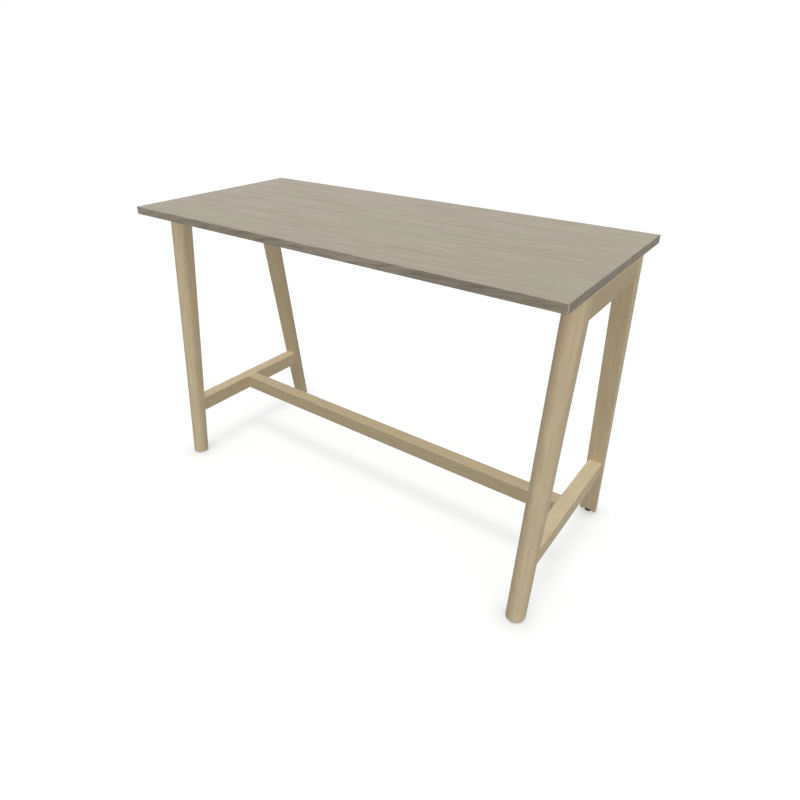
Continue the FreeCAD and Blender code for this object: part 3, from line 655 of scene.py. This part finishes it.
for layer, least, most, amount, colour in (
    ("mottle", 0.5, 0.7, 0.45, "#B3A095"),
    ("band", 0.44, 0.66, 0.45, "#948A77"),
    ("streak", 0.48, 0.7, 0.4, "#8A806E"),
    ("streak", 0.48, 0.28, 0.4, "#B8AF9D"),
    ("line", 0.46, 0.7, 0.38, "#8C8270"),
    ("fleck", 0.62, 0.76, 0.55, "#766C5A"),
):
    mark = add_node(tree, "ShaderNodeMapRange", {
        "Value": layers[layer], "From Min": least, "From Max": most, "To Max": amount,
    })
    decor = add_node(tree, "ShaderNodeMix", {
        "data_type": "RGBA", FACTOR: mark.outputs[0], UNDER: decor.outputs[MIXED], OVER: linear(colour),
    })
tree.links.new(decor.outputs[MIXED], shader.inputs["Base Color"])
skin = add_node(tree, "ShaderNodeMapRange", {"Value": layers["streak"], "To Min": 0.5, "To Max": 0.62})
tree.links.new(skin.outputs[0], shader.inputs["Roughness"])
relief = add_node(tree, "ShaderNodeBump", {
    "Height": layers["streak"], "Strength": 0.15, "Distance": 0.1 * MM,
})
tree.links.new(relief.outputs[0], shader.inputs["Normal"])
shader.inputs["IOR"].default_value = 1.5
coat("tabletop_board", oak_decor)

# Edge strips: 2 mm ABS glued round the board, printed with the same decor a little darker. The two
# long strips cover the ends of the short ones, and the milled outer edges are rounded.

BAND_ROUND = 1 * MM
# The figure climbs by this much of its length, and each strip has a place of its own in the print.
STRIP_SLANT = 0.12
STRIP_PRINT = (0.5, 0.2, 1)
LONG_GROUND = "#AAA190"
# The short strips' ground is darker than the long strips': painted shade on the board's ends.
SHORT_GROUND_PAINTED_SHADE = "#9C9383"


def printed_strip(node, ground, grain, centre, corner_x=None):
    """Matt printed ABS: slanting grey-brown figure with thin dark lines, slightly darker than the top.

    Past corner_x, at each end of the strip, a pale colour is painted: a painted highlight along the corner.
    """
    material, tree, shader = begin_material(f"printed_abs_{node}")
    place = add_node(tree, "ShaderNodeTexCoord", {})
    turn = Vector((1, 0, 0)).rotation_difference(Vector(grain)).to_euler()
    below = linear(ground)
    for length, width, least, most, amount, colour in (
        (160 * MM, 14 * MM, 0.35, 0.65, 1.0, "#91887A"),
        (70 * MM, 4 * MM, 0.48, 0.7, 0.7, "#776D5F"),
        (26 * MM, 3 * MM, 0.56, 0.72, 0.5, "#6C6556"),
    ):
        grid = add_node(tree, "ShaderNodeMapping", {
            "vector_type": "TEXTURE", "Vector": place.outputs["Object"], "Location": centre,
            "Rotation": turn, "Scale": (length, width, width),
        })
        figure = add_node(tree, "ShaderNodeTexNoise", {
            "Vector": grid.outputs[0], "Scale": 1.0, "Detail": 3.0,
        })
        mark = add_node(tree, "ShaderNodeMapRange", {
            "Value": figure.outputs["Fac"], "From Min": least, "From Max": most, "To Max": amount,
        })
        below = add_node(tree, "ShaderNodeMix", {
            "data_type": "RGBA", FACTOR: mark.outputs[0], UNDER: below, OVER: linear(colour),
        }).outputs[MIXED]
    # Painted highlight: a pale colour on the strip's ends past corner_x.
    if corner_x:
        axes = add_node(tree, "ShaderNodeSeparateXYZ", {0: place.outputs["Object"]})
        out = add_node(tree, "ShaderNodeMath", {"operation": "ABSOLUTE", 0: axes.outputs["X"]})
        painted_corner_highlight = add_node(tree, "ShaderNodeMath", {
            "operation": "GREATER_THAN", 0: out.outputs[0], 1: corner_x,
        })
        below = add_node(tree, "ShaderNodeMix", {
            "data_type": "RGBA", FACTOR: painted_corner_highlight.outputs[0], UNDER: below, OVER: linear("#D3C9B8"),
        }).outputs[MIXED]
    tree.links.new(below, shader.inputs["Base Color"])
    shader.inputs["Roughness"].default_value = 0.65
    shader.inputs["Specular IOR Level"].default_value = 0.25
    shader.inputs["IOR"].default_value = 1.5
    return material


along, across, up = STRIP_PRINT
low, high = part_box("edge_band_back")
strip = begin_block("edge_band_back_strip", low, high)
choose("EDGE", lambda edge: middle(edge).y > high.y - HAIR)
bpy.ops.mesh.bevel(offset=BAND_ROUND, segments=ROUND_STEPS, affect="EDGES")
front_strip = begin_copy(strip, "edge_band_front_strip")
mirror((1, -1, 1))
for side_name, piece in (("front", front_strip), ("back", strip)):
    node = f"edge_band_{side_name}"
    centre = (along * SIDES[side_name], across, up)
    plastic = printed_strip(node, LONG_GROUND, (1, 0, STRIP_SLANT), centre, high.x - BAND_ROUND)
    finish_piece(piece, plastic, "edge_strip", "table", node)

low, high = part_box("edge_band_right")
strip = begin_block("edge_band_right_strip", low, high)
choose("EDGE", lambda edge: runs_along(edge, 1) and middle(edge).x > high.x - HAIR)
bpy.ops.mesh.bevel(offset=BAND_ROUND, segments=ROUND_STEPS, affect="EDGES")
left_strip = begin_copy(strip, "edge_band_left_strip")
mirror((-1, 1, 1))
for end_name, piece in (("left", left_strip), ("right", strip)):
    node = f"edge_band_{end_name}"
    centre = (across, along * ENDS[end_name], up)
    plastic = printed_strip(node, SHORT_GROUND_PAINTED_SHADE, (0, 1, STRIP_SLANT), centre)
    finish_piece(piece, plastic, "edge_strip", "table", node)

# Floor and light: a pale seamless paper under soft studio lamps. The floor shows white to the camera, with
# a painted contact shadow from ambient occlusion near the members and a faint real shadow from the lamps,
# and gives the object the bounce of a pale grey floor. From below it is clear.

FLOOR_SIZE = 40
CONTACT_REACH = 70 * MM
CONTACT_SAMPLES = 16
WHITE = linear("#FFFFFF")
ROOM_LIGHT = 0.42
BACKDROP_LIGHT = 1.0
SOFTBOX_ANGLE = math.radians(45)


def seen_directly(tree):
    """One where the camera or a mirroring or clear surface looks, and nought where light only bounces."""
    ray = add_node(tree, "ShaderNodeLightPath", {})
    mirrored = add_node(tree, "ShaderNodeMath", {
        "operation": "MAXIMUM", 0: ray.outputs["Is Glossy Ray"], 1: ray.outputs["Is Transmission Ray"],
    })
    seen = add_node(tree, "ShaderNodeMath", {
        "operation": "MAXIMUM", 0: ray.outputs["Is Camera Ray"], 1: mirrored.outputs[0],
    })
    return seen.outputs[0]


put_down()
bpy.ops.mesh.primitive_plane_add(size=FLOOR_SIZE)
floor = bpy.context.object
floor.name = "studio_floor"
studio_paper = bpy.data.materials.new("studio_paper")
studio_paper.use_nodes = True
tree = studio_paper.node_tree
tree.nodes.clear()
# Painted contact shadow: the glow that the camera sees darkens where members stand near the paper.
contact_occlusion = add_node(tree, "ShaderNodeAmbientOcclusion", {
    "samples": CONTACT_SAMPLES, "Distance": CONTACT_REACH,
})
painted_contact_shade = add_node(tree, "ShaderNodeMapRange", {
    "Value": contact_occlusion.outputs["AO"], "From Min": 0.5, "From Max": 1.0, "To Min": 0.4, "To Max": 0.6,
})
glow = add_node(tree, "ShaderNodeEmission", {"Color": WHITE, "Strength": painted_contact_shade.outputs[0]})
paper = add_node(tree, "ShaderNodeBsdfDiffuse", {"Color": linear("#898989")})
shown = add_node(tree, "ShaderNodeAddShader", {0: glow.outputs[0], 1: paper.outputs[0]})
bounce = add_node(tree, "ShaderNodeBsdfDiffuse", {"Color": linear("#6C6C6B")})
upper = add_node(tree, "ShaderNodeMixShader", {
    0: seen_directly(tree), 1: bounce.outputs[0], 2: shown.outputs[0],
})
clear = add_node(tree, "ShaderNodeBsdfTransparent", {})
facing = add_node(tree, "ShaderNodeNewGeometry", {})
surface = add_node(tree, "ShaderNodeMixShader", {
    0: facing.outputs["Backfacing"], 1: upper.outputs[0], 2: clear.outputs[0],
})
add_node(tree, "ShaderNodeOutputMaterial", {"Surface": surface.outputs[0]})
floor.data.materials.append(studio_paper)

scene = bpy.context.scene
scene.view_settings.view_transform = "Standard"
studio = bpy.data.worlds.new("studio")
scene.world = studio
studio.use_nodes = True
tree = studio.node_tree
tree.nodes.clear()
room = add_node(tree, "ShaderNodeBackground", {"Color": WHITE, "Strength": ROOM_LIGHT})
backdrop = add_node(tree, "ShaderNodeBackground", {"Color": WHITE, "Strength": BACKDROP_LIGHT})
surroundings = add_node(tree, "ShaderNodeMixShader", {
    0: seen_directly(tree), 1: room.outputs[0], 2: backdrop.outputs[0],
})
add_node(tree, "ShaderNodeOutputWorld", {"Surface": surroundings.outputs[0]})

# The key comes from the front right and above. The fill, from behind and below, stands for the bounce of
# a white room. Both are so soft that they cast no shadow.
for name, energy, direction in (
    ("key_light", 2.08, (-0.344, 0.441, -0.829)),
    ("fill_light", 1.0, (0.6, -0.65, 0.47)),
):
    softbox = bpy.data.lights.new(name, "SUN")
    softbox.energy = energy
    softbox.angle = SOFTBOX_ANGLE
    softbox.use_shadow = False
    lamp = bpy.data.objects.new(name, softbox)
    scene.collection.objects.link(lamp)
    lamp.rotation_euler = Vector(direction).to_track_quat("-Z", "Y").to_euler()

# Floor lamp: a small softbox straight above that lights only the paper. The frame's members hide it, the
# board doesn't, so that the floor shows each member's own soft shadow.

FLOOR_LAMP_ENERGY = 2.3
FLOOR_LAMP_ANGLE = math.radians(25)
SHADOW_PIECES = ("leg_", "cross_rail_", "long_stretcher_", "glide_pad_")

downlight = bpy.data.lights.new("floor_lamp", "SUN")
downlight.energy = FLOOR_LAMP_ENERGY
downlight.angle = FLOOR_LAMP_ANGLE
lamp = bpy.data.objects.new("floor_lamp", downlight)
scene.collection.objects.link(lamp)
lit = bpy.data.collections.new("lit_by_floor_lamp")
lit.objects.link(floor)
hiding = bpy.data.collections.new("hiding_floor_lamp")
for piece in bpy.data.objects:
    if piece.name.startswith(SHADOW_PIECES):
        hiding.objects.link(piece)
lamp.light_linking.receiver_collection = lit
lamp.light_linking.blocker_collection = hiding

# Camera: the photograph's viewpoint, a little above the board at the front right, with a wide lens that
# makes the near corner large. Its place, turn and lens come from the straight edges in the photograph.

SENSOR_WIDTH = 36
LENS = 26.48
CAMERA_PLACE = (1.2093, -1.5283, 1.5126)
CAMERA_TILT = math.radians(59.58)
CAMERA_TURN = math.radians(36.10)

camera_data = bpy.data.cameras.new("photo_camera")
camera_data.sensor_width = SENSOR_WIDTH
camera_data.lens = LENS
camera = bpy.data.objects.new("photo_camera", camera_data)
scene.collection.objects.link(camera)
camera.location = CAMERA_PLACE
camera.rotation_euler = (CAMERA_TILT, 0, CAMERA_TURN)
scene.camera = camera
